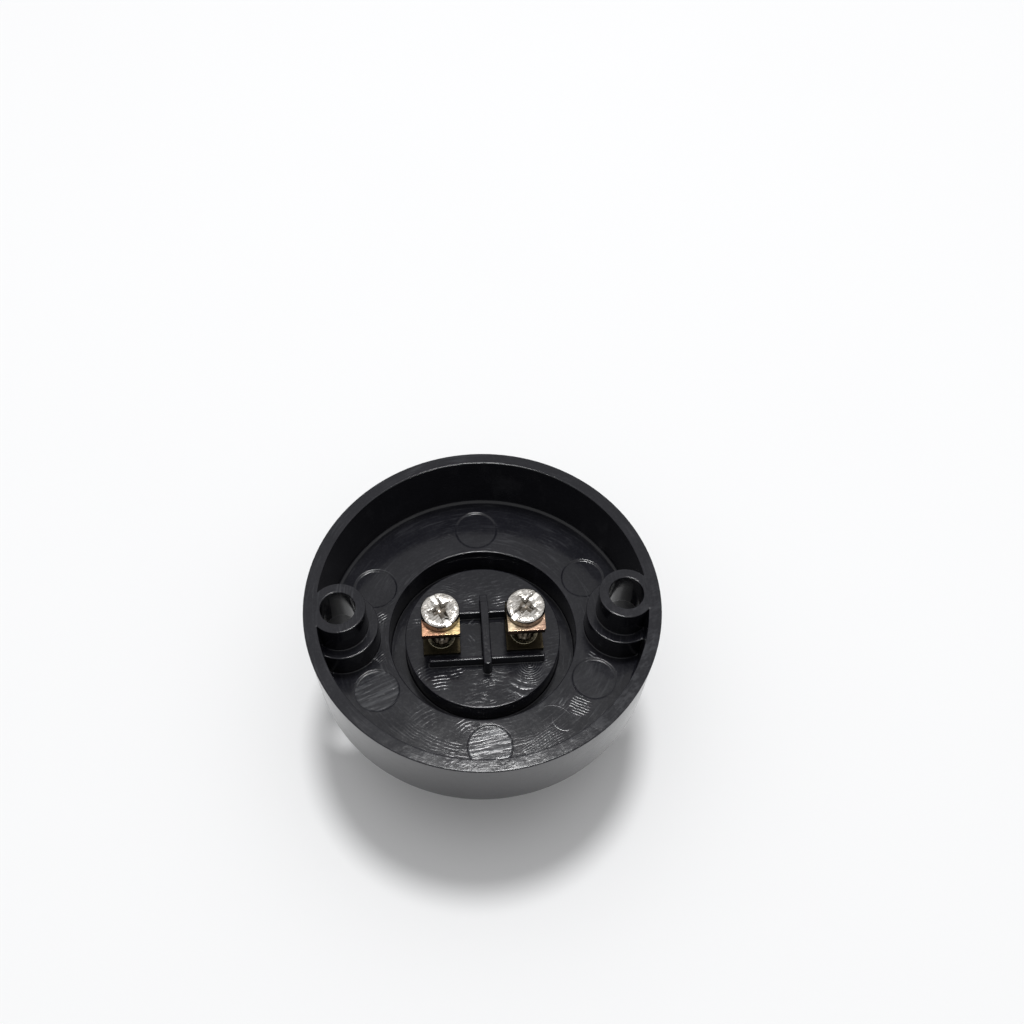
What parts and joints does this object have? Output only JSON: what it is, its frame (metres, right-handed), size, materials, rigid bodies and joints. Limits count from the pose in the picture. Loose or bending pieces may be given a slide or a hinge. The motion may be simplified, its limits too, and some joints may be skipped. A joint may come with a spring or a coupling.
{
  "type": "lamp holder",
  "caption": "Round black surface lamp holder with a screw lamp socket, open back with two screw terminals and two fixing hole bosses.",
  "frame": {"origin": "centre of the socket lip's end face, on which the holder stands with its open back up", "axes": "+Z out of the open back, away from the lamp; +X towards the right fixing hole; -Y towards the wire side of the terminals"},
  "size_m": [0.075, 0.075, 0.048],
  "materials": {
    "black_moulding": "moulded thermoplastic, satin with faint flow marks",
    "shell_brass": "rolled bright brass sheet",
    "contact_brass": "sprung brass strip",
    "terminal_brass": "stamped brass",
    "clamp_brass": "stamped brass with sheared reddish edges",
    "plated_steel": "bright nickel plated steel",
    "eyelet_brass": "rolled brass"
  },
  "bodies": {
    "base": {"housing": "black_moulding", "screw_shell": "shell_brass", "centre_contact": "contact_brass", "bracket_left": "terminal_brass", "bracket_right": "terminal_brass", "eyelet_left": "eyelet_brass", "eyelet_right": "eyelet_brass"},
    "clamp_left": {"clamp_plate_left": "clamp_brass"},
    "clamp_right": {"clamp_plate_right": "clamp_brass"},
    "screw_left": {"terminal_screw_left": "plated_steel"},
    "screw_right": {"terminal_screw_right": "plated_steel"}
  },
  "joints": [
    {"name": "clamp_left_lift", "type": "slide", "parent": "base", "child": "clamp_left", "axis": [0, 0, 1], "range_m": [-0.0021, 0.0028]},
    {"name": "clamp_right_lift", "type": "slide", "parent": "base", "child": "clamp_right", "axis": [0, 0, 1], "range_m": [-0.0021, 0.0028]},
    {"name": "screw_left_turn", "type": "hinge", "parent": "clamp_left", "child": "screw_left", "pos_m": [-0.0091, 0, 0.0429], "axis": [0, 0, 1], "range_deg": [-1080, 1440]},
    {"name": "screw_right_turn", "type": "hinge", "parent": "clamp_right", "child": "screw_right", "pos_m": [0.0091, 0, 0.0429], "axis": [0, 0, 1], "range_deg": [-1080, 1440]}
  ],
  "couplings": [
    {"joint": "screw_left_turn", "follows": "clamp_left_lift", "rad_per_m": 8976},
    {"joint": "screw_right_turn", "follows": "clamp_right_lift", "rad_per_m": 8976}
  ]
}
